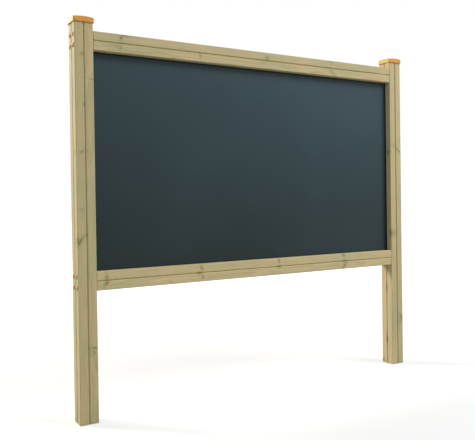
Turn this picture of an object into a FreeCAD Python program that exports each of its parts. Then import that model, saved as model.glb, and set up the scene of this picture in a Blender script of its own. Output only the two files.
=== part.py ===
import FreeCAD, Part
import math
import os

import Sketcher
from FreeCAD import Rotation, Vector

# Driving dimensions in millimetres: name, value, what it measures
SIZES = [
    ("timber", 95, "side of the square planed section of posts and rails"),
    ("arris", 4, "radius along the long edges of the timber"),
    ("end_ease", 2.5, "chamfer round the ends of the rails"),
    ("vee_width", 10, "width of the vee groove that runs down the middle of each face"),
    ("vee_depth", 7.5, "depth of that groove"),
    ("post_length", 2000, "sawn length of a post"),
    ("clear_width", 2000, "distance between the inner faces of the posts"),
    ("under_rail", 658, "foot of a post to the underside of the bottom rail"),
    ("clear_height", 1100, "bottom rail to top rail, the part of the board that shows"),
    ("board_thick", 18, "thickness of the writing board"),
    ("board_play", 0.5, "housing width over the board thickness"),
    ("board_edge", 1, "small chamfer round the board"),
    ("housing_depth", 13, "depth of the groove that houses the board"),
    ("board_gap", 2, "room over the board's top edge and at each end of it"),
    ("pitch_across", 47.5, "coach screws, centre to centre across the timber"),
    ("pitch_up", 55, "coach screws, centre to centre up the post"),
    ("shank_dia", 8, "coach screw shank"),
    ("core_dia", 6, "coach screw core under its thread, and its pilot hole"),
    ("screw_length", 160, "coach screw under its head"),
    ("shank_length", 64, "plain part of the coach screw"),
    ("tip_length", 6, "point of the coach screw"),
    ("pilot_depth", 84, "pilot hole in the end grain of a rail"),
    ("head_flats", 13, "coach screw head across its flats"),
    ("head_height", 5.5, "coach screw head"),
    ("head_bevel", 0.6, "depth of the bevel that rounds off the head's corners"),
    ("clear_dia", 9, "hole for the coach screw through a post"),
    ("sink_dia", 20, "counterbore for washer and head"),
    ("sink_depth", 14, "depth of the counterbore"),
    ("washer_dia", 16, "washer outside"),
    ("washer_hole", 8.4, "washer inside"),
    ("washer_thick", 1.6, "washer"),
    ("cover_dia", 25, "dome of a screw cover"),
    ("cover_rise", 6.5, "height of that dome off the post"),
    ("cover_rim", 1.8, "straight edge of the dome"),
    ("cover_flat", 1, "radius of the moulding gate's flat at the middle of the dome"),
    ("cover_wall", 1.6, "wall of the cover and of its plug"),
    ("plug_depth", 5, "how far the plug reaches into the counterbore"),
    ("plug_lead", 0.8, "taper on the end of the plug"),
    ("lid_side", 107, "post cap outside"),
    ("lid_corner", 9, "radius of the post cap's upright corners"),
    ("lid_skirt", 13, "how far the skirt comes down over the post"),
    ("lid_room", 0.5, "room between skirt and post on each side"),
    ("lid_low", 9, "top of the cap over the post at its corners"),
    ("lid_high", 18, "top of the cap over the post at its middle"),
    ("lid_round", 3, "rounding of the cap's top edge"),
    ("land_dia", 18, "flat land at the middle of the crown, for the screw"),
    ("core_side", 36, "side of each hollow under the cap"),
    ("core_pitch", 44, "hollow to hollow, which leaves the cross rib between them"),
    ("core_depth", 5, "depth of the hollows"),
    ("boss_dia", 15, "boss round the screw, where the ribs cross"),
    ("fixing_dia", 5, "cap screw"),
    ("fixing_length", 50, "cap screw overall"),
    ("fixing_tip", 5, "point of the cap screw"),
    ("fixing_head", 10, "countersunk head of the cap screw"),
    ("fixing_clear", 5.6, "hole in the cap for its screw"),
    ("fixing_sunk", 0.5, "how far the head's flat lies below the crown"),
]

doc = FreeCAD.newDocument("writing_board_between_posts")
sheet = doc.addObject("Spreadsheet::Sheet", "dims")
for row, (alias, value, note) in enumerate(SIZES, start=1):
    sheet.set(f"A{row}", note)
    sheet.set(f"B{row}", str(value))
    sheet.setAlias(f"B{row}", alias)
doc.recompute()

# Heights of the two rails' centre lines and the places of the posts
HALF = "dims.timber / 2"
LOW_RAIL = f"dims.under_rail + {HALF}"
HIGH_RAIL = f"dims.under_rail + dims.timber + dims.clear_height + {HALF}"
POST_AXIS = f"(dims.clear_width / 2 + {HALF})"
OUTER_FACE = "(dims.clear_width / 2 + dims.timber)"
HALF_TURN = Rotation(Vector(0, 0, 1), 180)


def size(expression):
    """The number that an expression over the sheet's cells comes to."""
    return float(sheet.evalExpression(expression))


def new_body(label):
    body = doc.addObject("PartDesign::Body", label)
    body.Label = label
    return body


def place(body, x="0", z="0", turned=False):
    """Moves a body to its place, with its position bound to the sheet."""
    if turned:
        body.Placement.Rotation = HALF_TURN
    body.setExpression(".Placement.Base.x", x)
    body.setExpression(".Placement.Base.z", z)


def new_sketch(body, name, plane, offset=None):
    """A sketch on one of the body's own origin planes, lifted off it by the offset."""
    sketch = body.newObject("Sketcher::SketchObject", name)
    base = [feature for feature in body.Origin.OriginFeatures if feature.Role == plane]
    sketch.AttachmentSupport = (base[0], [""])
    sketch.MapMode = "FlatFace"
    if offset:
        sketch.setExpression(".AttachmentOffset.Base.z", offset)
    return sketch


def bind(sketch, kind, places, expression):
    """One distance of a sketch, held by an expression over the sheet."""
    index = sketch.addConstraint(Sketcher.Constraint(kind, *places, size(expression)))
    sketch.setExpression(f"Constraints[{index}]", expression)


def pin_point(sketch, edge, end, across, up):
    """Holds the end of an edge at two distances from the sketch's origin."""
    for kind, axis, expression in (("DistanceX", -2, across), ("DistanceY", -1, up)):
        if expression == "0":
            sketch.addConstraint(Sketcher.Constraint("PointOnObject", edge, end, axis))
        elif expression is not None:
            bind(sketch, kind, (-1, 1, edge, end), expression)


def outline(sketch, corners, arcs=()):
    """A closed outline through corners given as pairs of expressions.

    The edges named in arcs are arcs of a circle whose centre lies on an axis of the sketch:
    each is (edge number, axis number), with -1 for the horizontal axis and -2 for the upright one.
    """
    points = [Vector(size(across), size(up), 0) for across, up in corners]
    axis_of = dict(arcs)
    count = len(points)
    ends = []
    for index, start in enumerate(points):
        end = points[(index + 1) % count]
        if index not in axis_of:
            sketch.addGeometry(Part.LineSegment(start, end), False)
            ends.append((1, 2))
            continue
        arc, forwards = short_arc(start, end, axis_of[index])
        edge = sketch.addGeometry(arc, False)
        ends.append((1, 2) if forwards else (2, 1))
        sketch.addConstraint(Sketcher.Constraint("PointOnObject", edge, 3, axis_of[index]))
    for index in range(count):
        after = (index + 1) % count
        sketch.addConstraint(
            Sketcher.Constraint("Coincident", index, ends[index][1], after, ends[after][0])
        )
    for index, (across, up) in enumerate(corners):
        pin_point(sketch, index, ends[index][0], across, up)


def short_arc(start, end, axis):
    """The arc through two points whose centre lies on an axis of the sketch.

    It always runs anticlockwise, so it comes with whether that is from start to end.
    """
    middle = (start + end) / 2
    chord = end - start
    if axis == -1:
        centre = Vector(middle.x + middle.y * chord.y / chord.x, 0, 0)
    else:
        centre = Vector(0, middle.y + middle.x * chord.x / chord.y, 0)
    forwards = (start - centre).cross(end - centre).z > 0
    first, last = (start, end) if forwards else (end, start)
    first_angle, last_angle = (
        math.atan2(point.y - centre.y, point.x - centre.x) for point in (first, last)
    )
    if last_angle < first_angle:
        last_angle += 2 * math.pi
    whole = Part.Circle(centre, Vector(0, 0, 1), (start - centre).Length)
    return Part.ArcOfCircle(whole, first_angle, last_angle), forwards


def rectangle(sketch, left, low, right, high):
    outline(sketch, [(left, low), (right, low), (right, high), (left, high)])


def circle(sketch, across, up, diameter):
    centre = Vector(size(across), size(up), 0)
    edge = sketch.addGeometry(Part.Circle(centre, Vector(0, 0, 1), size(diameter) / 2), False)
    pin_point(sketch, edge, 3, across, up)
    bind(sketch, "Diameter", (edge,), diameter)


def hexagon(sketch, flats):
    """A regular hexagon about the sketch's origin, by its distance across flats."""
    half, corner = f"{flats} / 2", f"{flats} / sqrt(3)"
    outline(sketch, [
        (corner, "0"), (f"{corner} / 2", half), (f"-{corner} / 2", half),
        (f"-{corner}", "0"), (f"-{corner} / 2", f"-{half}"), (f"{corner} / 2", f"-{half}"),
    ])


def pad(body, sketch, name, length, both_ways=False):
    feature = body.newObject("PartDesign::Pad", name)
    feature.Profile = sketch
    feature.SideType = "Symmetric" if both_ways else "One side"
    feature.setExpression("Length", length)
    return feature


def cut(body, sketch, name, depth=None, other_way=False):
    """A pocket to a depth, or through everything both ways where no depth is given."""
    before = solid_volume(body)
    feature = body.newObject("PartDesign::Pocket", name)
    feature.Profile = sketch
    if depth:
        feature.setExpression("Length", depth)
        feature.Reversed = other_way
    else:
        feature.SideType = "Symmetric"
        feature.Type = "ThroughAll"
    expect_less(body, before, name)
    return feature


def turn(body, sketch, name, axis, kind="PartDesign::Revolution"):
    before = solid_volume(body) if kind == "PartDesign::Groove" else None
    feature = body.newObject(kind, name)
    feature.Profile = sketch
    feature.ReferenceAxis = (sketch, [axis])
    feature.Angle = 360
    if before:
        expect_less(body, before, name)
    return feature


def drill(body, sketch, name, diameter, depth=None, sink=None, away=False):
    """Drilled holes at the circles of a sketch, with a counterbore or countersink if asked.

    sink is (kind, diameter, depth or None), and away drills against the sketch's normal.
    """
    before = solid_volume(body)
    feature = body.newObject("PartDesign::Hole", name)
    feature.Profile = sketch
    doc.recompute()
    feature.Threaded = False
    feature.ThreadType = "None"
    feature.DepthType = "Dimension" if depth else "ThroughAll"
    feature.DrillPoint = "Flat"
    feature.Reversed = away
    feature.setExpression("Diameter", diameter)
    if depth:
        feature.setExpression("Depth", depth)
    if sink:
        kind, wide, deep = sink
        feature.HoleCutType = kind
        feature.HoleCutCustomValues = True
        feature.setExpression("HoleCutDiameter", wide)
        if deep:
            feature.setExpression("HoleCutDepth", deep)
        else:
            feature.HoleCutCountersinkAngle = 90
    expect_less(body, before, name)
    return feature


def ease_edges(body, name, base, amount, wanted, kind="Fillet"):
    """Rounds or chamfers the edges of a feature whose middle point passes the test."""
    doc.recompute()
    names = []
    for number, edge in enumerate(base.Shape.Edges, start=1):
        middle = edge.valueAt((edge.FirstParameter + edge.LastParameter) / 2)
        if wanted(middle):
            names.append(f"Edge{number}")
    feature = body.newObject(f"PartDesign::{kind}", name)
    feature.Base = (base, names)
    feature.setExpression("Radius" if kind == "Fillet" else "Size", amount)
    return feature


def solid_volume(body):
    doc.recompute()
    return body.Shape.Volume


def expect_less(body, before, name):
    """A cut that points away from the solid leaves its volume as it was."""
    after = solid_volume(body)
    if not after < before - 1:
        reason = body.Tip.getStatusString()
        raise RuntimeError(f"{body.Label}: {name} removed nothing ({before} to {after}), {reason}")


# Timber
def planed_timber(body, plane, length, both_ways):
    """A square length with rounded arrises and a vee groove down each of its four faces.

    One that is padded both ways is a rail, and its ends are chamfered before the grooves are cut.
    """
    section = new_sketch(body, f"{body.Name}_section", plane)
    rectangle(section, f"-{HALF}", f"-{HALF}", HALF, HALF)
    blank = pad(body, section, f"{body.Name}_blank", length, both_ways)
    half = size(HALF)

    def on_corner(point):
        seen = (point.x, point.y) if plane == "XY_Plane" else (point.y, point.z)
        return all(abs(abs(value) - half) < 0.01 for value in seen)

    rounded = ease_edges(body, f"{body.Name}_arrises", blank, "dims.arris", on_corner)
    if both_ways:
        reach = size(length) / 2

        def on_end(point):
            return abs(abs(point.x) - reach) < 0.01

        ease_edges(body, f"{body.Name}_ends", rounded, "dims.end_ease", on_end, "Chamfer")
    vee = new_sketch(body, f"{body.Name}_vee", plane)
    outline(vee, [
        (HALF, "-dims.vee_width / 2"),
        (HALF, "dims.vee_width / 2"),
        (f"{HALF} - dims.vee_depth", "0"),
    ])
    first = cut(body, vee, f"{body.Name}_groove")
    before = solid_volume(body)
    grooves = body.newObject("PartDesign::PolarPattern", f"{body.Name}_grooves")
    grooves.Originals = [first]
    grooves.Axis = (vee, ["N_Axis"])
    grooves.Angle = 360
    grooves.Occurrences = 4
    body.Tip = grooves
    expect_less(body, before, "grooves")


def four_circles(sketch, diameter, middle="0"):
    """The two by two group of coach screw centres, about a middle height."""
    for side in ("-1", "1"):
        for level in ("-1", "1"):
            across = f"{side} * dims.pitch_across / 2"
            circle(sketch, across, f"{middle} + {level} * dims.pitch_up / 2", diameter)


def post(label, turned):
    """A post, its inner face towards +X before it is turned."""
    body = new_body(label)
    planed_timber(body, "XY_Plane", "dims.post_length", False)

    housing = new_sketch(body, f"{label}_housing_outline", "YZ_Plane", HALF)
    board_half = "(dims.board_thick + dims.board_play) / 2"
    rectangle(
        housing,
        f"-{board_half}",
        "dims.under_rail + dims.timber - dims.housing_depth",
        board_half,
        "dims.under_rail + dims.timber + dims.clear_height + dims.housing_depth",
    )
    cut(body, housing, f"{label}_housing", "dims.housing_depth")

    low = new_sketch(body, f"{label}_low_centres", "YZ_Plane", f"-{HALF}")
    four_circles(low, "dims.clear_dia", LOW_RAIL)
    sink = ("Counterbore", "dims.sink_dia", "dims.sink_depth")
    low_holes = drill(body, low, f"{label}_low_holes", "dims.clear_dia", sink=sink, away=True)
    before = solid_volume(body)
    high_holes = body.newObject("PartDesign::LinearPattern", f"{label}_high_holes")
    high_holes.Originals = [low_holes]
    high_holes.Direction = (low, ["V_Axis"])
    high_holes.setExpression("Length", "dims.clear_height + dims.timber")
    high_holes.Occurrences = 2
    body.Tip = high_holes
    expect_less(body, before, "high holes")

    top = new_sketch(body, f"{label}_top_centre", "XY_Plane", "dims.post_length")
    circle(top, "0", "0", "dims.fixing_dia")
    drill(body, top, f"{label}_cap_pilot", "dims.fixing_dia",
          "dims.fixing_length - dims.lid_high + dims.fixing_sunk")
    place(body, x=POST_AXIS if turned else f"-{POST_AXIS}", turned=turned)
    return body


def rail(label, height, board_above):
    """A rail between the posts, housed for the board above or below it."""
    body = new_body(label)
    planed_timber(body, "YZ_Plane", "dims.clear_width", True)

    housing = new_sketch(body, f"{label}_housing_outline", "YZ_Plane")
    board_half = "(dims.board_thick + dims.board_play) / 2"
    floor = f"({HALF} - dims.housing_depth)"
    if board_above:
        rectangle(housing, f"-{board_half}", floor, board_half, HALF)
    else:
        rectangle(housing, f"-{board_half}", f"-{HALF}", board_half, f"-{floor}")
    cut(body, housing, f"{label}_housing")

    for end, side, away in (("right", "", False), ("left", "-", True)):
        centres = new_sketch(
            body, f"{label}_{end}_centres", "YZ_Plane", f"{side}dims.clear_width / 2"
        )
        four_circles(centres, "dims.core_dia")
        drill(body, centres, f"{label}_{end}_pilots", "dims.core_dia",
              "dims.pilot_depth", away=away)
    place(body, z=height)
    return body


# Board
def writing_board():
    """The flat board, standing on the floor of the bottom rail's groove."""
    body = new_body("writing_board")
    face = new_sketch(body, "board_face", "XZ_Plane")
    half_length = "(dims.clear_width / 2 + dims.housing_depth - dims.board_gap)"
    floor = "dims.under_rail + dims.timber - dims.housing_depth"
    top = ("dims.under_rail + dims.timber + dims.clear_height"
           " + dims.housing_depth - dims.board_gap")
    rectangle(face, f"-{half_length}", floor, half_length, top)
    blank = pad(body, face, "board_blank", "dims.board_thick", True)
    half = size("dims.board_thick / 2")

    def on_rim(point):
        return abs(abs(point.y) - half) < 0.01

    ease_edges(body, "board_edges", blank, "dims.board_edge", on_rim, "Chamfer")
    place(body)
    return body


# Joint hardware, modelled with the post's outer face at x = 0 and the rail towards +X
SEAT = "dims.sink_depth - dims.washer_thick"


def spread(body, originals, sketch):
    """Repeats one fastener across and up the post, into the group of four."""
    body.AllowCompound = True
    group = body.newObject("PartDesign::LinearPattern", f"{body.Name}_group")
    group.Originals = originals
    group.Direction = (sketch, ["V_Axis"])
    group.setExpression("Length", "dims.pitch_up")
    group.Occurrences = 2
    group.Direction2 = (sketch, ["H_Axis"])
    group.setExpression("Length2", "dims.pitch_across")
    group.Occurrences2 = 2
    body.Tip = group


def coach_screws(label):
    """Four coach screws: hexagon heads on plain shanks, with the thinner threaded core."""
    body = new_body(label)
    stem = new_sketch(body, f"{label}_stem_outline", "XY_Plane")
    end = f"({SEAT} + dims.screw_length)"
    outline(stem, [
        (SEAT, "0"),
        (end, "0"),
        (f"{end} - dims.tip_length", "dims.core_dia / 2"),
        (f"{SEAT} + dims.shank_length + dims.tip_length / 3", "dims.core_dia / 2"),
        (f"{SEAT} + dims.shank_length", "dims.shank_dia / 2"),
        (SEAT, "dims.shank_dia / 2"),
    ])
    shank = turn(body, stem, f"{label}_stem", "H_Axis")
    head = new_sketch(body, f"{label}_head_outline", "YZ_Plane", f"{SEAT} - dims.head_height")
    hexagon(head, "dims.head_flats")
    top = pad(body, head, f"{label}_head", "dims.head_height")
    rim = new_sketch(body, f"{label}_bevel_outline", "XY_Plane")
    outer, corner = f"{SEAT} - dims.head_height", "dims.head_flats / sqrt(3)"
    outline(rim, [
        (outer, "dims.head_flats / 2"),
        (outer, f"{corner} + dims.head_bevel"),
        (f"{outer} + dims.head_bevel", f"{corner} + dims.head_bevel"),
        (f"{outer} + dims.head_bevel", corner),
    ])
    bevel = turn(body, rim, f"{label}_bevel", "H_Axis", "PartDesign::Groove")
    spread(body, [shank, top, bevel], head)
    return body


def washers(label):
    body = new_body(label)
    ring = new_sketch(body, f"{label}_ring_outline", "YZ_Plane", SEAT)
    circle(ring, "0", "0", "dims.washer_dia")
    circle(ring, "0", "0", "dims.washer_hole")
    washer = pad(body, ring, f"{label}_ring", "dims.washer_thick")
    spread(body, [washer], ring)
    return body


def screw_covers(label):
    """Four domed plastic covers, each with a thin plug that grips the counterbore."""
    body = new_body(label)
    shell = new_sketch(body, f"{label}_shell_outline", "XY_Plane")
    rim, plug = "dims.cover_dia / 2", "dims.sink_dia / 2"
    outline(shell, [
        ("-dims.cover_rise", "0"),
        ("-dims.cover_rise", "dims.cover_flat"),
        ("-dims.cover_rim", rim),
        ("0", rim),
        ("0", plug),
        ("dims.plug_depth - dims.plug_lead", plug),
        ("dims.plug_depth", f"{plug} - dims.plug_lead"),
        ("dims.plug_depth", f"{plug} - dims.cover_wall"),
        ("-dims.cover_rim", f"{plug} - dims.cover_wall"),
        ("-dims.cover_rise + dims.cover_wall", "dims.cover_flat"),
        ("-dims.cover_rise + dims.cover_wall", "0"),
    ], arcs=[(1, -1)])
    cover = turn(body, shell, f"{label}_shell", "H_Axis")
    across = new_sketch(body, f"{label}_directions", "YZ_Plane")
    circle(across, "0", "0", "dims.sink_dia")
    spread(body, [cover], across)
    return body


HARDWARE = [
    ("coach_screws", coach_screws),
    ("washers", washers),
    ("screw_covers", screw_covers),
]


def joint_hardware(side, level, height):
    """The fasteners of one rail end."""
    made = []
    for kind, build in HARDWARE:
        body = build(f"{side}_{level}_{kind}")
        turned = side == "right"
        sign = "" if turned else "-"
        place(body, x=f"{sign}{OUTER_FACE}", z=f"{height} - dims.pitch_up / 2", turned=turned)
        body.setExpression(".Placement.Base.y", f"{sign}dims.pitch_across / 2")
        made.append(body)
    return made


# Post caps, modelled with the top of the post at z = 0
def post_cap(label, side):
    """A moulded lid: crowned top, skirt down over the post, cross rib underneath."""
    body = new_body(label)
    half, inner = "dims.lid_side / 2", "(dims.timber / 2 + dims.lid_room)"
    plan = new_sketch(body, f"{label}_plan", "XY_Plane", "-dims.lid_skirt")
    rectangle(plan, f"-{half}", f"-{half}", half, half)
    block = pad(body, plan, f"{label}_block", "dims.lid_skirt + dims.lid_high")
    reach = size(half)

    def upright(point):
        return abs(abs(point.x) - reach) < 0.01 and abs(abs(point.y) - reach) < 0.01

    ease_edges(body, f"{label}_corners", block, "dims.lid_corner", upright)
    crown = new_sketch(body, f"{label}_crown_outline", "XZ_Plane")
    seat, corner = "dims.land_dia / 2", "dims.lid_side / sqrt(2)"
    outline(crown, [
        (seat, "dims.lid_high"),
        (corner, "dims.lid_low"),
        (corner, "dims.lid_high * 2"),
        (seat, "dims.lid_high * 2"),
    ], arcs=[(0, -2)])
    domed = turn(body, crown, f"{label}_crown", "V_Axis", "PartDesign::Groove")

    def top_rim(point):
        outside = max(abs(point.x), abs(point.y)) > reach - size("dims.lid_corner")
        return outside and point.z > size("dims.lid_low") / 2

    ease_edges(body, f"{label}_rim", domed, "dims.lid_round", top_rim)

    mouth = new_sketch(body, f"{label}_mouth_outline", "XY_Plane", "-dims.lid_skirt")
    rectangle(mouth, f"-{inner}", f"-{inner}", inner, inner)
    cut(body, mouth, f"{label}_mouth", "dims.lid_skirt", other_way=True)

    core = new_sketch(body, f"{label}_core_outline", "XY_Plane")
    near = "(dims.core_pitch - dims.core_side) / 2"
    far = "(dims.core_pitch + dims.core_side) / 2"
    rectangle(core, near, near, far, far)
    hollow = cut(body, core, f"{label}_core", "dims.core_depth", other_way=True)
    before = solid_volume(body)
    cores = body.newObject("PartDesign::PolarPattern", f"{label}_cores")
    cores.Originals = [hollow]
    cores.Axis = (core, ["N_Axis"])
    cores.Angle = 360
    cores.Occurrences = 4
    body.Tip = cores
    expect_less(body, before, "cores")
    ring = new_sketch(body, f"{label}_boss_outline", "XY_Plane")
    circle(ring, "0", "0", "dims.boss_dia")
    pad(body, ring, f"{label}_boss", "dims.core_depth")

    centre = new_sketch(body, f"{label}_screw_centre", "XY_Plane", "dims.lid_high")
    circle(centre, "0", "0", "dims.fixing_clear")
    drill(body, centre, f"{label}_screw_hole", "dims.fixing_clear",
          sink=("Countersink", "dims.fixing_head + 2 * dims.fixing_sunk", None))
    place(body, x=f"{side}{POST_AXIS}", z="dims.post_length")
    return body


def cap_screw(label, side):
    """The countersunk screw that holds a cap to the end grain of its post."""
    body = new_body(label)
    profile = new_sketch(body, f"{label}_outline", "XZ_Plane")
    flat = "(dims.lid_high - dims.fixing_sunk)"
    shank, head = "dims.fixing_dia / 2", "dims.fixing_head / 2"
    tip = f"({flat} - dims.fixing_length)"
    outline(profile, [
        ("0", tip),
        (shank, f"{tip} + dims.fixing_tip"),
        (shank, f"{flat} - {head} + {shank}"),
        (head, flat),
        ("0", flat),
    ])
    turn(body, profile, f"{label}_turned", "V_Axis")
    place(body, x=f"{side}{POST_AXIS}", z="dims.post_length")
    return body


def build_all():
    made = [
        post("left_post", False),
        post("right_post", True),
        rail("bottom_rail", LOW_RAIL, True),
        rail("top_rail", HIGH_RAIL, False),
        writing_board(),
    ]
    for side, sign in (("left", "-"), ("right", "")):
        made.append(post_cap(f"{side}_post_cap", sign))
        made.append(cap_screw(f"{side}_cap_screw", sign))
        for level, height in (("bottom", LOW_RAIL), ("top", HIGH_RAIL)):
            made += joint_hardware(side, level, height)
    doc.recompute()
    return made


def check_all(made):
    """Stops on any failed object, and on any piece that isn't a valid solid."""
    for thing in doc.Objects:
        if {"Invalid", "Error"} & set(thing.State):
            raise RuntimeError(f"{thing.Label} failed: {thing.State}")
    for body in made:
        shape = body.Shape
        if shape.isNull() or not shape.isValid() or not shape.Solids:
            raise RuntimeError(f"{body.Label} has no valid solid")
        box = shape.BoundBox
        print(f"{body.Label}: {len(shape.Solids)} solid(s), {shape.Volume / 1000:.1f} cm3, "
              f"{box.XLength:.1f} x {box.YLength:.1f} x {box.ZLength:.1f} mm")


def export(made):
    os.makedirs("parts", exist_ok=True)
    for body in made:
        body.Shape.exportStep(f"parts/{body.Label}.step")


pieces = build_all()
check_all(pieces)
export(pieces)
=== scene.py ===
import logging
import math
from dataclasses import dataclass
from enum import Enum

import bpy
from mathutils import Euler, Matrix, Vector


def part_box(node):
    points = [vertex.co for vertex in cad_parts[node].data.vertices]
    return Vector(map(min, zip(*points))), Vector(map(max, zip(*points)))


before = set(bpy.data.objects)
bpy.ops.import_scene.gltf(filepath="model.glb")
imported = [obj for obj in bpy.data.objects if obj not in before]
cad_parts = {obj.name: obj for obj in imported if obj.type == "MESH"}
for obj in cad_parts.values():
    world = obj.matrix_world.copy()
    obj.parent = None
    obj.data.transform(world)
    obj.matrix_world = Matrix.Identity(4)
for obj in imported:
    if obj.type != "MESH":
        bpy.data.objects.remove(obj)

logging.basicConfig(level=logging.INFO, format="%(message)s")
log = logging.getLogger("chalkboard")

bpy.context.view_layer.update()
MM = 0.001

Tree = bpy.types.NodeTree
Socket = bpy.types.NodeSocket
Colour = tuple[float, float, float, float]

# The sockets and settings of a mix node that works on colours.
AMOUNT, BELOW, ABOVE = 0, 6, 7
MIXED = {"out": 2, "data_type": "RGBA"}
# The setting of a map range node that eases in and out.
SMOOTH = {"interpolation_type": "SMOOTHSTEP"}
# The level that a noise pattern keeps to on average.
NOISE_MIDDLE = 0.5


class Grain(Enum):
    """The axis along which the fibres of a timber run."""

    UPRIGHT = 2
    LEVEL = 0


class Side(Enum):
    """A face of a timber: the axis and the sign of its outward normal."""

    FRONT = (1, -1)
    REAR = (1, 1)
    LEFT = (0, -1)
    RIGHT = (0, 1)
    TOP = (2, 1)


@dataclass(frozen=True)
class Knot:
    """A branch cut through by the face of a timber.

    Args:
        along: millimetres from the foot of a post, or to the right of a rail's middle.
        across: millimetres from the middle of the face, to the right, rearwards or upwards.
        long: half its length along the grain, in millimetres.
        wide: half its width, in millimetres.
        lean: degrees that it turns about the axis through the face.
        cover: how far it lies below the surface, in half widths. From 1 up its core is out of
            sight, and only the stain and the green halo round it show.
        side: the face that it shows on.
        depth: how far it runs into the timber, in half widths.
    """

    along: float
    across: float
    long: float
    wide: float
    lean: float = 0.0
    cover: float = 0.0
    side: Side = Side.FRONT
    depth: float = 3.0


@dataclass(frozen=True)
class Mottle:
    """A cloudy pattern of a real size.

    Args:
        size_mm: how far apart its patches lie.
        detail: how many times finer patches are laid over it.
        stretch: how many times longer the patches are along the grain.
        crisp: how strong the finer patches are.
    """

    size_mm: float
    detail: float
    stretch: float = 1.0
    crisp: float = 0.5

    def squeeze(self) -> tuple[float, float, float]:
        """What a place in the log is multiplied by, to draw the patches long."""
        return (1.0, 1.0, 1 / self.stretch)

    def at(self, place: Socket) -> dict:
        """Works out the inputs of the noise that draws it.

        Args:
            place: where it is drawn, in metres.

        Returns:
            The inputs, by name.
        """
        return {"Vector": place, "Scale": 1 / (self.size_mm * MM), "Detail": self.detail,
                "Roughness": self.crisp}


@dataclass(frozen=True)
class Fade:
    """A level that changes over a range of something else.

    Args:
        start: where it begins to change. end: where it stops.
        first: its level at the start. last: its level at the end.
    """

    start: float
    end: float
    first: float
    last: float

    def over(self, value: Socket) -> dict:
        """Works out the inputs of the map range that draws it.

        Args:
            value: what it changes over.

        Returns:
            The inputs, by name.
        """
        return {"Value": value, "From Min": self.start, "From Max": self.end,
                "To Min": self.first, "To Max": self.last}


def linear(code: str) -> Colour:
    """Turns an sRGB colour into the linear one that shaders take, by the standard's own curve.

    Args:
        code: six hex digits.

    Returns:
        Red, green, blue and alpha.
    """
    channels = [int(code[i:i + 2], 16) / 255 for i in (0, 2, 4)]
    plain = [c / 12.92 if c <= 0.04045 else ((c + 0.055) / 1.055) ** 2.4 for c in channels]
    return (*plain, 1.0)


def grey(level: float) -> Colour:
    """A grey of that linear level, for the stops of a ramp."""
    return (level, level, level, 1.0)


def add_node(tree: Tree, kind: str, inputs: dict | None = None, out: int | str = 0,
             stops: list[tuple[float, Colour]] | None = None, **settings) -> Socket:
    """Adds a node with its settings and links.

    Args:
        tree: the node tree that it goes into.
        kind: the node's type, without its ShaderNode prefix.
        inputs: a socket to link or a value to set, by the input's name or number.
        out: the output wanted, by name or number.
        stops: place and colour of each stop of a colour ramp.
        settings: the node's own properties.

    Returns:
        The output socket, or the node itself where it has none.
    """
    node = tree.nodes.new("ShaderNode" + kind)
    for name, value in settings.items():
        setattr(node, name, value)
    for key, value in (inputs or {}).items():
        if isinstance(value, bpy.types.NodeSocket):
            tree.links.new(value, node.inputs[key])
        else:
            node.inputs[key].default_value = value
    if stops:
        ramp = node.color_ramp
        while len(ramp.elements) < len(stops):
            ramp.elements.new(1.0)
        for element, (place, colour) in zip(ramp.elements, stops):
            element.position = place
            element.color = colour
    return node.outputs[out] if len(node.outputs) else node


def new_material(name: str) -> tuple[bpy.types.Material, Tree]:
    """Makes a material with an empty tree.

    Args:
        name: its name.

    Returns:
        The material and its node tree.
    """
    material = bpy.data.materials.new(name)
    material.use_nodes = True
    material.node_tree.nodes.clear()
    return material, material.node_tree


def finish_surface(tree: Tree, inputs: dict) -> None:
    """Ends a tree with a Principled shader.

    Args:
        tree: the material's tree.
        inputs: what the shader's inputs are linked or set to.
    """
    shader = add_node(tree, "BsdfPrincipled", inputs)
    add_node(tree, "OutputMaterial", {"Surface": shader})


def wear(piece: bpy.types.Object, material: bpy.types.Material) -> None:
    """Puts one material on the whole of a piece.

    Args:
        piece: the object to dress.
        material: what it wears.
    """
    piece.data.materials.clear()
    piece.data.materials.append(material)


def dress_nodes(endings: tuple[str, ...], material: bpy.types.Material) -> None:
    """Dresses every node of the frame whose name ends in one of these.

    Args:
        endings: the ends of the nodes' names.
        material: what they wear.
    """
    for name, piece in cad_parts.items():
        if name.endswith(endings):
            wear(piece, material)
            log.info("%s wears %s", name, material.name)


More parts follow.
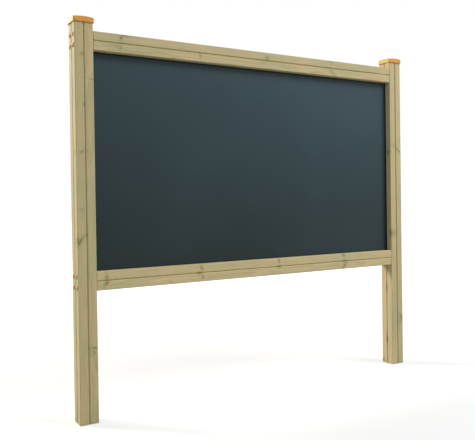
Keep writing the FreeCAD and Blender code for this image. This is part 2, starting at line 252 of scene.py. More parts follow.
@dataclass(frozen=True)
class Timber:
    """One length of grooved pine.

    Args:
        node: its name in the frame.
        grain: which way it runs.
        pith: where the heart of the log lies, in millimetres from its middle, across it.
        seed: metres that it is moved along the log, so that no two timbers match.
        tone: how pale it is beside a common length.
        knots: the knots on its faces.
    """

    node: str
    grain: Grain
    pith: tuple[float, float]
    seed: float
    tone: float
    knots: tuple[Knot, ...]

    def centre(self) -> Vector:
        """Finds the middle of a rail, or the middle of a post's foot.

        Returns:
            The point, in metres.
        """
        low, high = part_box(self.node)
        middle = (low + high) / 2
        if self.grain is Grain.UPRIGHT:
            middle.z = low.z
        return middle

    def half_side(self) -> float:
        """Half the side of its square section, in metres."""
        low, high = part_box(self.node)
        return (high.y - low.y) / 2

    def elsewhere(self) -> Vector:
        """A shift of its own in the pattern of bends, so that no two timbers bend alike."""
        return Vector((1, 2, 3)) * self.seed

    def heart_point(self) -> Vector:
        """The pith, as a place from the timber's middle, with its shift along the log."""
        return Vector((*self.pith, 0)) * MM - Vector((0, 0, self.seed))

    def knot_frame(self, knot: Knot) -> dict:
        """Works out the space in which a knot is a ball of radius one.

        Args:
            knot: one of its knots.

        Returns:
            Location, Rotation and Scale for a mapping node of the texture kind.
        """
        along = self.grain.value
        normal, sign = knot.side.value
        across = ({0, 1, 2} - {along, normal}).pop()
        place = self.centre()
        place[along] += knot.along * MM
        place[across] += knot.across * MM
        place[normal] += sign * self.half_side()
        scale = Vector()
        scale[along] = knot.long * MM
        scale[across] = knot.wide * MM
        scale[normal] = knot.wide * knot.depth * MM
        turn = Vector()
        turn[normal] = math.radians(knot.lean)
        return {"Location": place, "Rotation": turn, "Scale": scale}


@dataclass(frozen=True)
class TreatedPine:
    """Planed pine, pressure treated with a green copper salt and a summer outdoors.

    It gives the eye an olive tan with soft growth rings. Sapwood drifts towards green, and the
    heart of the log, which the salt doesn't reach, stays warm. Knots are dark and lie in a
    grey-green halo. The grooves are painted paler and yellower than the faces, a painted light
    against the shade that falls in them, and short drying checks run with the grain.

    Args:
        sap: the common ground. green: where more salt was taken up. heart: the heartwood.
        summer: the dense part of each ring. knot, rim, halo: the knots. groove_painted_light: the
            painted light in the grooves.
        check: the inside of a drying check.
        ring_mm: width of a growth ring. ring_profile: places across a ring, with how much
            summerwood there is at each. summer_cover: how much of its colour that brings.
        bend: how the trunk wanders. swing_mm: how far it does.
        ragged: the uneven edge of the knots. merge: how softly two of them join.
        swell: how far the rings are pushed out near a knot, in metres. This fade and those
            of the halo, the skirt and the branch run over what knot_distance measures.
        drift: clouds of salt. salted: their levels where the wood is all green and all sap.
        heart_edge: the heart's colour over the distance from the pith, in metres.
        heart_wander_mm: how far the drift moves that edge.
        fibre: fibre bundles, drawn several times too wide so that they show.
        streak: how light they are.
        check_field: the checks' own pattern. check_line: how much of a check shows over the
            distance from its middle level. check_patch: the patches that have checks.
            check_cover: how many they have.
        halo_edge: the halo. skirt_edge: the stained wood round a branch. branch_edge: the core
            of the branch, laid over it.
        core_stops: where the core's colour starts to turn to its rim's, and where it has.
        groove_painted_light_edge: the grooves' painted light over the depth below the planed
            faces, in metres.
        ring_lift, check_depth: how high the summerwood stands and how deep the checks go,
            beside the fibres. bump, bump_mm: how strong all of that is, and how high.
        ior, roughness, specular: what the shader takes as they are.
    """

    sap: str = "C3B287"
    green: str = "B3AE83"
    heart: str = "CDB48A"
    summer: str = "A4946A"
    knot: str = "847446"
    rim: str = "6A5F37"
    halo: str = "98986F"
    # Painted light: the grooves' colour, paler than the faces, against the shade in them.
    groove_painted_light: str = "D0C08E"
    check: str = "5A4B31"
    ring_mm: float = 5.0
    ring_profile: tuple[tuple[float, float], ...] = (
        (0.0, 0.05), (0.45, 0.18), (0.82, 0.85), (0.93, 1.0), (1.0, 0.1),
    )
    summer_cover: float = 0.5
    bend: Mottle = Mottle(111.111, 2.0, 6.25)
    swing_mm: float = 30.0
    ragged: Mottle = Mottle(11.1111, 2.0)
    merge: float = 0.5
    swell: Fade = Fade(1.0, 5.0, 9 * MM, 0.0)
    drift: Mottle = Mottle(90.909, 4.0, 3.6667)
    salted: tuple[float, float] = (0.38, 0.58)
    heart_edge: Fade = Fade(30 * MM, 44 * MM, 0.7, 0.0)
    heart_wander_mm: float = 20.0
    fibre: Mottle = Mottle(3.2, 3.0, 50.0, 0.6)
    streak: Fade = Fade(0.3, 0.7, 0.91, 1.08)
    check_field: Mottle = Mottle(33.3333, 1.0, 25.0)
    check_line: Fade = Fade(0.001, 0.006, 1.0, 0.0)
    check_patch: Mottle = Mottle(71.4286, 1.0, 4.6667)
    check_cover: Fade = Fade(0.58, 0.68, 0.0, 0.35)
    halo_edge: Fade = Fade(1.6, 5.0, 0.5, 0.0)
    skirt_edge: Fade = Fade(0.9, 2.7, 0.5, 0.0)
    branch_edge: Fade = Fade(1.0, 1.4, 0.4, 0.0)
    core_stops: tuple[float, float] = (0.8, 1.0)
    groove_painted_light_edge: Fade = Fade(1 * MM, 4 * MM, 0.0, 0.6)
    ring_lift: float = 0.4
    check_depth: float = 2.0
    bump: float = 0.4
    bump_mm: float = 0.4
    ior: float = 1.5
    roughness: float = 0.75
    specular: float = 0.3

    def make(self, timber: Timber) -> bpy.types.Material:
        """Builds the material of one timber, cut from its own place in the log.

        Args:
            timber: the timber that wears it.

        Returns:
            The material.
        """
        material, tree = new_material(f"pressure_treated_pine_{timber.node}")
        place = add_node(tree, "TexCoord", out="Object")
        local = add_node(tree, "VectorMath", {0: place, 1: timber.centre()}, operation="SUBTRACT")
        log_space = self.in_log(tree, local, timber)
        near = self.knot_distance(tree, place, timber)
        radius = self.pith_distance(tree, log_space, near)
        rings = self.rings(tree, radius)
        fibres = self.with_grain(tree, log_space, self.fibre)
        checks = self.checks(tree, log_space)
        colour = self.ground(tree, log_space, radius)
        colour = self.figure(tree, colour, rings, fibres, timber.tone)
        colour = self.paint_groove_light(tree, colour, local, timber)
        colour = self.knotted(tree, colour, near)
        colour = add_node(tree, "Mix", {
            AMOUNT: checks, BELOW: colour, ABOVE: linear(self.check),
        }, **MIXED)
        finish_surface(tree, {
            "Base Color": colour, "Roughness": self.roughness, "IOR": self.ior,
            "Specular IOR Level": self.specular,
            "Normal": self.relief(tree, rings, fibres, checks),
        })
        return material

    def in_log(self, tree: Tree, local: Socket, timber: Timber) -> Socket:
        """Turns a place into the log's own space, with the grain on Z, bent as a trunk is.

        Args:
            tree: the material's tree.
            local: place from the timber's middle.
            timber: the timber.

        Returns:
            The place in the log.
        """
        parts = [add_node(tree, "SeparateXYZ", {0: local}, out=axis) for axis in ("X", "Y", "Z")]
        if timber.grain is Grain.LEVEL:
            parts.reverse()
        straight = add_node(tree, "CombineXYZ", dict(enumerate(parts)))
        drawn = add_node(tree, "VectorMath", {
            0: straight, 1: self.bend.squeeze(), 2: timber.elsewhere(),
        }, operation="MULTIPLY_ADD")
        bend = add_node(tree, "TexNoise", self.bend.at(drawn), out=1)
        swing = add_node(tree, "VectorMath", {0: bend, 1: (NOISE_MIDDLE,) * 3},
                         operation="SUBTRACT")
        reach = self.swing_mm * MM
        bent = add_node(tree, "VectorMath", {0: swing, 1: (reach, reach, 0), 2: straight},
                        operation="MULTIPLY_ADD")
        return add_node(tree, "VectorMath", {0: bent, 1: timber.heart_point()},
                        operation="SUBTRACT")

    def with_grain(self, tree: Tree, log_space: Socket, mottle: Mottle) -> Socket:
        """Draws a pattern whose patches lie along the grain.

        Args:
            tree: the material's tree.
            log_space: place in the log.
            mottle: the pattern.

        Returns:
            Its level.
        """
        drawn = add_node(tree, "VectorMath", {0: log_space, 1: mottle.squeeze()},
                         operation="MULTIPLY")
        return add_node(tree, "TexNoise", mottle.at(drawn))

    def knot_distance(self, tree: Tree, place: Socket, timber: Timber) -> Socket:
        """Measures how far off the nearest knot is.

        Args:
            tree: the material's tree.
            place: place in the frame.
            timber: the timber, for its knots.

        Returns:
            The distance in the knot's half widths, with its cover and its uneven edge added.
        """
        nearest = None
        for knot in timber.knots:
            ball = add_node(tree, "Mapping", {"Vector": place, **timber.knot_frame(knot)},
                            vector_type="TEXTURE")
            off = add_node(tree, "VectorMath", {0: ball}, out="Value", operation="LENGTH")
            if knot.cover:
                off = add_node(tree, "Math", {0: off, 1: knot.cover}, operation="ADD")
            if nearest is None:
                nearest = off
            else:
                nearest = add_node(tree, "Math", {0: nearest, 1: off, 2: self.merge},
                                   operation="SMOOTH_MIN")
        uneven = add_node(tree, "TexNoise", self.ragged.at(place))
        return add_node(tree, "Math", {0: uneven, 1: nearest}, operation="ADD")

    def pith_distance(self, tree: Tree, log_space: Socket, near: Socket) -> Socket:
        """Measures the distance from the pith, with the rings swelling round each knot.

        Args:
            tree: the material's tree.
            log_space: place in the log.
            near: distance to the nearest knot.

        Returns:
            The distance, in metres.
        """
        flat = add_node(tree, "VectorMath", {0: log_space, 1: (1, 1, 0)}, operation="MULTIPLY")
        radius = add_node(tree, "VectorMath", {0: flat}, out="Value", operation="LENGTH")
        swell = add_node(tree, "MapRange", self.swell.over(near), **SMOOTH)
        return add_node(tree, "Math", {0: radius, 1: swell}, operation="ADD")

    def rings(self, tree: Tree, radius: Socket) -> Socket:
        """Draws the growth rings, from pale springwood to a sharp edge of summerwood.

        Args:
            tree: the material's tree.
            radius: distance from the pith.

        Returns:
            How much summerwood there is.
        """
        turns = add_node(tree, "Math", {0: radius, 1: self.ring_mm * MM}, operation="DIVIDE")
        saw = add_node(tree, "Math", {0: turns}, operation="FRACT")
        stops = [(place, grey(level)) for place, level in self.ring_profile]
        return add_node(tree, "ValToRGB", {0: saw}, stops=stops)

    def checks(self, tree: Tree, log_space: Socket) -> Socket:
        """Draws drying checks: hair cracks along the grain, in patches.

        Args:
            tree: the material's tree.
            log_space: place in the log.

        Returns:
            Where they are.
        """
        field = self.with_grain(tree, log_space, self.check_field)
        off = add_node(tree, "Math", {0: field, 1: NOISE_MIDDLE}, operation="SUBTRACT")
        off = add_node(tree, "Math", {0: off}, operation="ABSOLUTE")
        line = add_node(tree, "MapRange", self.check_line.over(off))
        patch = self.with_grain(tree, log_space, self.check_patch)
        where = add_node(tree, "MapRange", self.check_cover.over(patch))
        return add_node(tree, "Math", {0: line, 1: where}, operation="MULTIPLY")

    def ground(self, tree: Tree, log_space: Socket, radius: Socket) -> Socket:
        """Lays the ground colour: sapwood that drifts to green, and the warm heart.

        Args:
            tree: the material's tree.
            log_space: place in the log.
            radius: distance from the pith.

        Returns:
            The colour.
        """
        drift = self.with_grain(tree, log_space, self.drift)
        colours = (linear(self.green), linear(self.sap))
        sapwood = add_node(tree, "ValToRGB", {0: drift}, stops=list(zip(self.salted, colours)))
        edge = add_node(tree, "Math", {0: drift, 1: self.heart_wander_mm * MM, 2: radius},
                        operation="MULTIPLY_ADD")
        inside = add_node(tree, "MapRange", self.heart_edge.over(edge), **SMOOTH)
        return add_node(tree, "Mix", {
            AMOUNT: inside, BELOW: sapwood, ABOVE: linear(self.heart),
        }, **MIXED)

    def figure(self, tree: Tree, colour: Socket, rings: Socket, fibres: Socket,
               tone: float) -> Socket:
        """Adds the rings and the fibres to the ground.

        Args:
            tree: the material's tree.
            colour: the ground.
            rings: where the summerwood is.
            fibres: the streaks.
            tone: how pale the timber is.

        Returns:
            The colour.
        """
        amount = add_node(tree, "Math", {0: rings, 1: self.summer_cover}, operation="MULTIPLY")
        colour = add_node(tree, "Mix", {
            AMOUNT: amount, BELOW: colour, ABOVE: linear(self.summer),
        }, **MIXED)
        streak = add_node(tree, "MapRange", self.streak.over(fibres))
        toned = add_node(tree, "Math", {0: streak, 1: tone}, operation="MULTIPLY")
        return add_node(tree, "Mix", {AMOUNT: 1.0, BELOW: colour, ABOVE: toned},
                        blend_type="MULTIPLY", **MIXED)

    def paint_groove_light(self, tree: Tree, colour: Socket, local: Socket, timber: Timber) -> Socket:
        """Paints light into the grooves, which lie below the planed faces, against the shade that
        falls in them.

        Args:
            tree: the material's tree.
            colour: the colour so far.
            local: place from the timber's middle.
            timber: the timber, for its section.

        Returns:
            The colour.
        """
        parts = add_node(tree, "VectorMath", {0: local}, operation="ABSOLUTE")
        across = ("X", "Y") if timber.grain is Grain.UPRIGHT else ("Y", "Z")
        sides = [add_node(tree, "SeparateXYZ", {0: parts}, out=axis) for axis in across]
        reach = add_node(tree, "Math", dict(enumerate(sides)), operation="MAXIMUM")
        depth = add_node(tree, "Math", {0: timber.half_side(), 1: reach}, operation="SUBTRACT")
        amount = add_node(tree, "MapRange", self.groove_painted_light_edge.over(depth))
        # Painted light: the grooves are painted paler than the faces, against the shade that falls
        # in them.
        return add_node(tree, "Mix", {
            AMOUNT: amount, BELOW: colour, ABOVE: linear(self.groove_painted_light),
        }, **MIXED)

    def knotted(self, tree: Tree, colour: Socket, near: Socket) -> Socket:
        """Lays the knots and their halos over the figure.

        Args:
            tree: the material's tree.
            colour: the colour so far.
            near: distance to the nearest knot.

        Returns:
            The colour.
        """
        halo = add_node(tree, "MapRange", self.halo_edge.over(near), **SMOOTH)
        colour = add_node(tree, "Mix", {
            AMOUNT: halo, BELOW: colour, ABOVE: linear(self.halo),
        }, **MIXED)
        colours = (linear(self.knot), linear(self.rim))
        core = add_node(tree, "ValToRGB", {0: near}, stops=list(zip(self.core_stops, colours)))
        skirt = add_node(tree, "MapRange", self.skirt_edge.over(near), **SMOOTH)
        branch = add_node(tree, "MapRange", self.branch_edge.over(near), **SMOOTH)
        inside = add_node(tree, "Math", {0: skirt, 1: branch}, operation="ADD")
        return add_node(tree, "Mix", {AMOUNT: inside, BELOW: colour, ABOVE: core}, **MIXED)

    def relief(self, tree: Tree, rings: Socket, fibres: Socket, checks: Socket) -> Socket:
        """Raises the summerwood a little, as weather does, and opens the checks.

        Args:
            tree: the material's tree.
            rings: where the summerwood is.
            fibres: the streaks.

        Returns:
            The bumped normal.
        """
        raised = add_node(tree, "Math", {0: rings, 1: self.ring_lift, 2: fibres},
                          operation="MULTIPLY_ADD")
        height = add_node(tree, "Math", {0: checks, 1: -self.check_depth, 2: raised},
                          operation="MULTIPLY_ADD")
        return add_node(tree, "Bump", {
            "Strength": self.bump, "Distance": self.bump_mm * MM, "Height": height,
        })


@dataclass(frozen=True)
class SlateCoat:
    """Writing coat rolled on exterior plywood: a blue-green slate with a haze of wiped chalk, and
    a painted sheen that pales it towards the top right.

    The cured coat has a low sheen, so it takes a soft light from in front of it, and it goes
    nearly black where only the shaded timber stands before it. Beside the posts and under the
    top rail it is painted nearly black: a painted shade where the timber shadows it.

    Args:
        coat: the paint. chalk_and_sheen: chalk dust left after wiping, and the painted sheen.
            painted_edge_shade: the painted shade beside the timber.
        cloud: the clouds that wiping leaves. cloud_share: how far they move the haze.
        lean: how much more haze there is for each metre to the right, rearwards and up: a painted
            sheen, paler towards the top right.
        chalk_and_sheen_edge: the haze and the painted sheen over the two of them together.
        edge_shade_band: the painted shade over the distance in from the timber, in metres.
        tooth: the fine grit that takes the chalk, drawn coarser than it is so that it shows.
        bump, bump_mm: how strong the tooth is, and how high.
        roughness: over the level of the clouds.
        ior, specular: what the shader takes as they are.
    """

    coat: str = "1F2B2C"
    # Chalk dust, and a painted sheen towards the top right.
    chalk_and_sheen: str = "35484F"
    # Painted shade, laid beside the posts and under the top rail.
    painted_edge_shade: str = "0D1112"
    cloud: Mottle = Mottle(625.0, 3.0)
    cloud_share: float = 0.6
    lean: tuple[float, float, float] = (0.18, 0.0, 0.85)
    chalk_and_sheen_edge: Fade = Fade(0.82, 1.92, 0.0, 1.0)
    edge_shade_band: Fade = Fade(0.0, 17 * MM, 0.9, 0.0)
    tooth: Mottle = Mottle(2.0, 2.0)
    bump: float = 0.08
    bump_mm: float = 0.1
    ior: float = 1.45
    roughness: Fade = Fade(0.0, 1.0, 0.28, 0.38)
    specular: float = 0.2

    def make(self, name: str) -> bpy.types.Material:
        """Builds the material.

        Args:
            name: its name.

        Returns:
            The material.
        """
        material, tree = new_material(name)
        place = add_node(tree, "TexCoord", out="Object")
        cloud = add_node(tree, "TexNoise", self.cloud.at(place))
        # Painted sheen: the chalk colour rises towards the top right, where the coat reflects more
        # light; the clouds are chalk left by wiping.
        reach = add_node(tree, "VectorMath", {0: place, 1: self.lean}, out="Value",
                         operation="DOT_PRODUCT")
        chalk_and_sheen_level = add_node(tree, "Math", {0: cloud, 1: self.cloud_share, 2: reach},
                        operation="MULTIPLY_ADD")
        amount = add_node(tree, "MapRange", self.chalk_and_sheen_edge.over(chalk_and_sheen_level))
        colour = add_node(tree, "Mix", {
            AMOUNT: amount, BELOW: linear(self.coat), ABOVE: linear(self.chalk_and_sheen),
        }, **MIXED)
        # Painted shade: the coat goes nearly black beside the posts and under the top rail.
        colour = add_node(tree, "Mix", {
            AMOUNT: self.painted_shade_band(tree, place), BELOW: colour, ABOVE: linear(self.painted_edge_shade),
        }, **MIXED)
        tooth = add_node(tree, "TexNoise", self.tooth.at(place))
        bump = add_node(tree, "Bump", {
            "Strength": self.bump, "Distance": self.bump_mm * MM, "Height": tooth,
        })
        rough = add_node(tree, "MapRange", self.roughness.over(cloud))
        finish_surface(tree, {
            "Base Color": colour, "Roughness": rough, "IOR": self.ior,
            "Specular IOR Level": self.specular, "Normal": bump,
        })
        return material

    def painted_shade_band(self, tree: Tree, place: Socket) -> Socket:
        """Finds the band of painted shade beside the posts and under the top rail.

        Args:
            tree: the material's tree.
            place: place in the frame.

        Returns:
            How much painted shade the coat takes.
        """
        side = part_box("right_post")[0].x
        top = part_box("top_rail")[0].z
        flat = add_node(tree, "VectorMath", {0: place, 1: (1, 0, 0)}, operation="MULTIPLY")
        aside = add_node(tree, "VectorMath", {0: flat}, out="Value", operation="LENGTH")
        height = add_node(tree, "SeparateXYZ", {0: place}, out="Z")
        in_from_side = add_node(tree, "Math", {0: side, 1: aside}, operation="SUBTRACT")
        below_rail = add_node(tree, "Math", {0: top, 1: height}, operation="SUBTRACT")
        nearest = add_node(tree, "Math", {0: in_from_side, 1: below_rail}, operation="MINIMUM")
        return add_node(tree, "MapRange", self.edge_shade_band.over(nearest), **SMOOTH)


@dataclass(frozen=True)
class MouldedPlastic:
    """Injection moulded polypropylene, coloured through, with a fine spark-eroded grain.

    It gives the eye a satin colour that the sun has faded unevenly in patches, with a painted
    highlight that pales the sides facing the light.

    Args:
        body: the pigment. faded: where the sun has taken it. lit_side_highlight: the painted
            highlight on the sides towards the light.
        patch: the faded patches. patch_edge: how faded they are.
        sun: the way the light comes from. highlight_fade: the painted highlight over how far a
            side faces it.
        grain: the mould's texture. bump, bump_mm: how strong it is, and how high.
        ior, roughness, specular: what the shader takes as they are.
    """

    body: str
    faded: str
    # Painted highlight: the colour of the sides that face the light.
    lit_side_highlight: str
    patch: Mottle = Mottle(22.2222, 3.0)
    patch_edge: Fade = Fade(0.35, 0.65, 0.0, 1.0)
    sun: tuple[float, float, float] = (-1.0, 0.0, 0.8)
    highlight_fade: Fade = Fade(0.1, 0.8, 0.0, 0.85)
    grain: Mottle = Mottle(1.2, 2.0)
    bump: float = 0.02
    bump_mm: float = 0.1
    ior: float = 1.49
    roughness: float = 0.5
    specular: float = 0.2

    def make(self, name: str) -> bpy.types.Material:
        """Builds the material.

        Args:
            name: its name.

        Returns:
            The material.
        """
        material, tree = new_material(name)
        place = add_node(tree, "TexCoord", out="Object")
        patch = add_node(tree, "TexNoise", self.patch.at(place))
        amount = add_node(tree, "MapRange", self.patch_edge.over(patch))
        colour = add_node(tree, "Mix", {
            AMOUNT: amount, BELOW: linear(self.body), ABOVE: linear(self.faded),
        }, **MIXED)
        facing = add_node(tree, "TexCoord", out="Normal")
        sunlit = add_node(tree, "VectorMath", {0: facing, 1: self.sun}, out="Value",
                          operation="DOT_PRODUCT")
        # Painted highlight: the sides that face the light are painted paler and yellower.
        highlighted = add_node(tree, "MapRange", self.highlight_fade.over(sunlit))
        colour = add_node(tree, "Mix", {
            AMOUNT: highlighted, BELOW: colour, ABOVE: linear(self.lit_side_highlight),
        }, **MIXED)
        grain = add_node(tree, "TexNoise", self.grain.at(place))
        bump = add_node(tree, "Bump", {
            "Strength": self.bump, "Distance": self.bump_mm * MM, "Height": grain,
        })
        finish_surface(tree, {
            "Base Color": colour, "Roughness": self.roughness, "IOR": self.ior,
            "Specular IOR Level": self.specular, "Normal": bump,
        })
        return material


@dataclass(frozen=True)
class ZincPlate:
    """Headed steel with a thin bright zinc plating, dulled by a winter outdoors.

    It gives the eye a pale soft shine, with duller patches where the plating has turned.

    Args:
        bright: the plating. dull: where it has turned. patch: the dull patches.
        roughness: from the bright parts to the dull ones.
    """

    bright: str = "C9CBC8"
    dull: str = "9A9C98"
    patch: Mottle = Mottle(5.0, 2.0)
    roughness: Fade = Fade(0.0, 1.0, 0.30, 0.48)

    def make(self, name: str) -> bpy.types.Material:
        """Builds the material.

        Args:
            name: its name.

        Returns:
            The material.
        """
        material, tree = new_material(name)
        place = add_node(tree, "TexCoord", out="Object")
        patch = add_node(tree, "TexNoise", self.patch.at(place))
        colour = add_node(tree, "Mix", {
            AMOUNT: patch, BELOW: linear(self.bright), ABOVE: linear(self.dull),
        }, **MIXED)
        rough = add_node(tree, "MapRange", self.roughness.over(patch))
        finish_surface(tree, {"Base Color": colour, "Metallic": 1.0, "Roughness": rough})
        return material


@dataclass
class PostAndRailFrame:
    """The two posts and two rails that hold the board."""

    pine: TreatedPine = TreatedPine()
    timbers: tuple[Timber, ...] = (
        Timber("left_post", Grain.UPRIGHT, (30, 34), 1.7, 0.98, (
            Knot(1828, -12, 7, 4, 48, 0.5), Knot(1711, 18, 1.5, 18, 12, 1.1),
            Knot(1707, 38, 3, 6, 0, 0.3), Knot(1582, -6, 5, 3, 0, 0.4),
            Knot(1347, -19, 3.5, 9, -30, 0.3), Knot(1350, 12, 4, 4, 0, 0.7),
            Knot(1064, -25, 6, 7, 0, 1.0), Knot(937, 0, 6, 3, 0, 0.3), Knot(907, -33, 17, 4.5, 30),
            Knot(905, -44, 15, 4, -10), Knot(377, 29, 2.5, 14, 8), Knot(355, 25, 12, 12, 0, 1.3),
            Knot(1345, -20, 8, 4, 0, 0.5, Side.LEFT), Knot(462, 0, 28, 3, 0, 0.4, Side.LEFT),
            Knot(249, -8, 8, 3, 0, 0.2, Side.LEFT), Knot(31, 2, 9, 4, 0, 0.4, Side.LEFT),
            Knot(1100, 20, 14, 8, 0, 0, Side.REAR), Knot(520, -25, 11, 7, 20, 0, Side.REAR),
            Knot(1660, -20, 10, 6, 0, 0, Side.REAR),
        )),
        Timber("right_post", Grain.UPRIGHT, (-44, 4), 4.1, 1.02, (
            Knot(1439, -23, 3, 12, 0, 0.6), Knot(1412, 21, 27, 3, -46, 0.2),
            Knot(306, 34, 14, 5, -25), Knot(282, 24, 16, 11, 0, 1.1),
            Knot(1397, -30, 10, 5, 0, 0, Side.LEFT), Knot(865, -43, 12, 6, 0, 0, Side.LEFT),
            Knot(503, -2, 12, 5, 0, 0.2, Side.LEFT), Knot(160, 3, 20, 4, 0, 0.3, Side.LEFT),
            Knot(19, 38, 10, 6, 0, 0.2, Side.LEFT), Knot(980, 20, 12, 8, 0, 0, Side.RIGHT),
            Knot(1620, -24, 11, 6, 20, 0, Side.RIGHT), Knot(750, -22, 12, 7, 0, 0, Side.REAR),
            Knot(1520, 20, 10, 7, 30, 0, Side.REAR),
        )),
        Timber("top_rail", Grain.LEVEL, (-38, 22), 7.3, 1.0, (
            Knot(-853, 31, 5, 10, 10, 0.2), Knot(-832, 43, 20, 5, 0, 0.5),
            Knot(-880, -16, 19, 5, 4, 1.0), Knot(-858, -23, 4, 9, 10, 0.4),
            Knot(-399, -14, 5, 9, 0, 0.8), Knot(35, 16, 7, 5),
            Knot(12, -14, 9, 5, 0, 1.4), Knot(508, 34, 5, 9, -38, 1.0),
            Knot(520, -24, 20, 5, 36, 0.6), Knot(-200, 20, 12, 8, 0, 0, Side.REAR),
            Knot(710, -20, 13, 8, 0, 0, Side.REAR), Knot(100, 20, 12, 8, 0, 0, Side.TOP),
        )),
        Timber("bottom_rail", Grain.LEVEL, (-24, -19), 6.6, 1.08, (
            Knot(-950, 16, 6, 12, 0, 0.5), Knot(-951, -14, 4, 11, 43),
            Knot(-411, 27, 4, 10, -30, 0.2), Knot(-423, -1, 8, 4),
            Knot(-404, -22, 3, 6), Knot(101, 36, 4, 8, 0, 0.2),
            Knot(103, 1, 8, 4), Knot(592, 40, 6, 6, 0, 0.2), Knot(598, 3, 7, 4),
            Knot(597, -26, 5, 15, 45), Knot(150, 21, 12, 8, 0, 0, Side.REAR),
            Knot(-620, -20, 10, 7, 0, 0, Side.REAR),
        )),
    )

    def build(self) -> None:
        """Dresses each timber in pine of its own."""
        for timber in self.timbers:
            wear(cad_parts[timber.node], self.pine.make(timber))
            log.info("%s: %d knots", timber.node, len(timber.knots))


@dataclass
class WritingBoard:
    """The board that is written on."""

    coat: SlateCoat = SlateCoat()

    def build(self) -> None:
        """Dresses the board."""
        dress_nodes(("writing_board",), self.coat.make("rolled_slate_coat"))


@dataclass
class PlasticTrim:
    """The post caps, and the darker domed covers over the coach screws."""

    # The third colour of each is the painted highlight on the sides that face the light.
    caps: MouldedPlastic = MouldedPlastic("CF8932", "D99C4B", "CDB868")
    covers: MouldedPlastic = MouldedPlastic("B87F48", "C6925A", "C9A675")

    def build(self) -> None:
        """Dresses every cap and cover."""
        dress_nodes(("_post_cap",), self.caps.make("moulded_orange_polypropylene"))
        dress_nodes(("_screw_covers",), self.covers.make("moulded_rust_polypropylene"))


@dataclass
class Fixings:
    """The screws and washers, most of them under their covers."""

    zinc: ZincPlate = ZincPlate()

    def build(self) -> None:
        """Dresses every screw and washer."""
        endings = ("_cap_screw", "_coach_screws", "_washers")
        dress_nodes(endings, self.zinc.make("zinc_plated_steel"))


@dataclass(frozen=True)
class Softbox:
    """A square lamp with an even face.

    Args:
        name: its name.
        place: its middle, in metres.
        target: the point that it faces.
        side: its side in metres.
        power: its power in watts.
        tint: its colour.
    """

    name: str
    place: tuple[float, float, float]
    target: tuple[float, float, float]
    side: float
    power: float
    tint: str = "FFFFFF"

    def hang(self) -> None:
        """Hangs the lamp, out of the camera's sight."""
        lamp = bpy.data.lights.new(self.name, "AREA")
        lamp.size = self.side
        lamp.energy = self.power
        lamp.color = linear(self.tint)[:3]
        box = bpy.data.objects.new(self.name, lamp)
        box.location = self.place
        box.rotation_euler = (Vector(self.place) - Vector(self.target)).to_track_quat(
            "Z", "Y").to_euler()
        box.visible_camera = False
        bpy.context.scene.collection.objects.link(box)


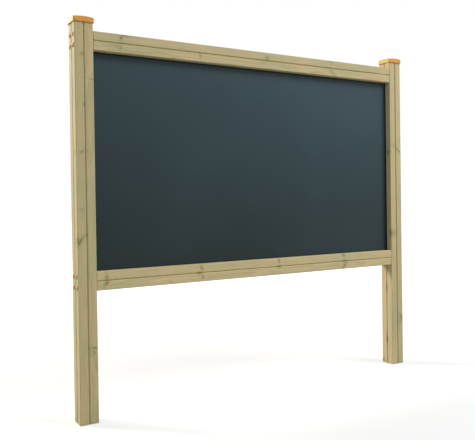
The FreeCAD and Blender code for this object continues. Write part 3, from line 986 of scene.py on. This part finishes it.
@dataclass
class Studio:
    """A pale floor in a white room, and four softboxes.

    Args:
        walls: how much the walls light the object, and how white they are to the eye.
        floor_paint: the floor. floor_side: its side in metres.
        glow: light added to the floor for the eye alone, over the distance from the object in
            metres, so that the floor fades into the white walls.
        boxes: the softboxes.
    """

    walls: Fade = Fade(0.0, 1.0, 0.285, 1.0)
    floor_paint: str = "ACACAA"
    floor_side: float = 60.0
    glow: Fade = Fade(2.2, 7.0, 0.56, 1.0)
    boxes: tuple[Softbox, ...] = (
        Softbox("key_softbox", (-8.0, 7.6, 8.0), (0.0, 0.0, 1.2), 3.0, 1510.0, "FFFAF0"),
        Softbox("front_softbox", (5.0, -5.0, 7.2), (0.0, 0.0, 1.2), 4.0, 785.0, "FCFDFF"),
        Softbox("side_softbox", (-7.0, -2.2, 3.0), (0.0, 0.0, 1.4), 1.5, 60.0),
        Softbox("rear_softbox", (-2.3, 3.7, 3.1), (-1.05, 0.0, 1.9), 1.2, 55.0),
    )

    def build(self) -> None:
        """Sets up the floor, the lamps and the room."""
        self.lay_floor()
        for box in self.boxes:
            box.hang()
        self.light_room()

    def seen(self, tree: Tree) -> Socket:
        """Tells the rays that the eye follows from those that only carry light.

        Args:
            tree: the tree that asks.

        Returns:
            One for camera, glossy and transmission rays, and nought for the rest.
        """
        path = [add_node(tree, "LightPath", out=f"Is {kind} Ray")
                for kind in ("Camera", "Glossy", "Transmission")]
        both = add_node(tree, "Math", {0: path[0], 1: path[1]}, operation="MAXIMUM")
        return add_node(tree, "Math", {0: both, 1: path[2]}, operation="MAXIMUM")

    def lay_floor(self) -> None:
        """Lays a wide pale floor that keeps the object's shadow."""
        half = self.floor_side / 2
        mesh = bpy.data.meshes.new("floor")
        corners = [(-half, -half, 0), (half, -half, 0), (half, half, 0), (-half, half, 0)]
        mesh.from_pydata(corners, [], [(0, 1, 2, 3)])
        floor = bpy.data.objects.new("floor", mesh)
        bpy.context.scene.collection.objects.link(floor)
        material, tree = new_material("floor_paint")
        paint = add_node(tree, "BsdfDiffuse", {"Color": linear(self.floor_paint)})
        place = add_node(tree, "TexCoord", out="Object")
        away = add_node(tree, "VectorMath", {0: place}, out="Value", operation="LENGTH")
        fade = add_node(tree, "MapRange", self.glow.over(away), **SMOOTH)
        glow = add_node(tree, "Math", {0: self.seen(tree), 1: fade}, operation="MULTIPLY")
        light = add_node(tree, "Emission", {"Color": grey(1.0), "Strength": glow})
        both = add_node(tree, "AddShader", {0: paint, 1: light})
        add_node(tree, "OutputMaterial", {"Surface": both})
        wear(floor, material)

    def light_room(self) -> None:
        """Gives the room an even light, and white walls for the eye."""
        world = bpy.data.worlds.new("white_room")
        world.use_nodes = True
        tree = world.node_tree
        tree.nodes.clear()
        strength = add_node(tree, "MapRange", self.walls.over(self.seen(tree)))
        walls = add_node(tree, "Background", {"Color": grey(1.0), "Strength": strength})
        add_node(tree, "OutputWorld", {"Surface": walls})
        bpy.context.scene.world = world


@dataclass
class Viewpoint:
    """Where the photograph was taken from, in a frame 475 by 440 pixels.

    Args:
        place: the lens, in metres. pan: degrees to the right of square on.
        tilt: degrees upwards. roll: degrees of roll.
        focal_px: focal length in pixels. middle_px: height of the optical axis in the frame.
        frame_px: width and height of the frame. film_mm: width of the film.
    """

    place: tuple[float, float, float] = (-2.0604, -3.1541, 1.1073)
    pan: float = 31.211
    tilt: float = -0.530
    roll: float = -0.815
    focal_px: float = 646.14
    middle_px: float = 204.45
    frame_px: tuple[int, int] = (475, 440)
    film_mm: float = 36.0

    def build(self) -> None:
        """Makes the camera, and makes it the scene's own."""
        lens = bpy.data.cameras.new("camera")
        width, height = self.frame_px
        lens.sensor_width = self.film_mm
        lens.lens = self.focal_px * self.film_mm / width
        lens.shift_y = (self.middle_px - height / 2) / width
        camera = bpy.data.objects.new("camera", lens)
        camera.location = self.place
        ahead = Euler((math.radians(90 + self.tilt), 0, math.radians(-self.pan)), "XYZ")
        twist = Euler((0, 0, math.radians(self.roll)), "XYZ")
        camera.rotation_euler = (ahead.to_matrix() @ twist.to_matrix()).to_euler()
        bpy.context.scene.collection.objects.link(camera)
        bpy.context.scene.camera = camera


def main() -> None:
    """Builds every part in turn, and logs each one as it is done."""
    bpy.context.scene.view_settings.view_transform = "Standard"
    for part in (PostAndRailFrame(), WritingBoard(), PlasticTrim(), Fixings(), Studio(),
                 Viewpoint()):
        part.build()
        log.info("%s done", type(part).__name__)


if __name__ == "__main__":
    main()
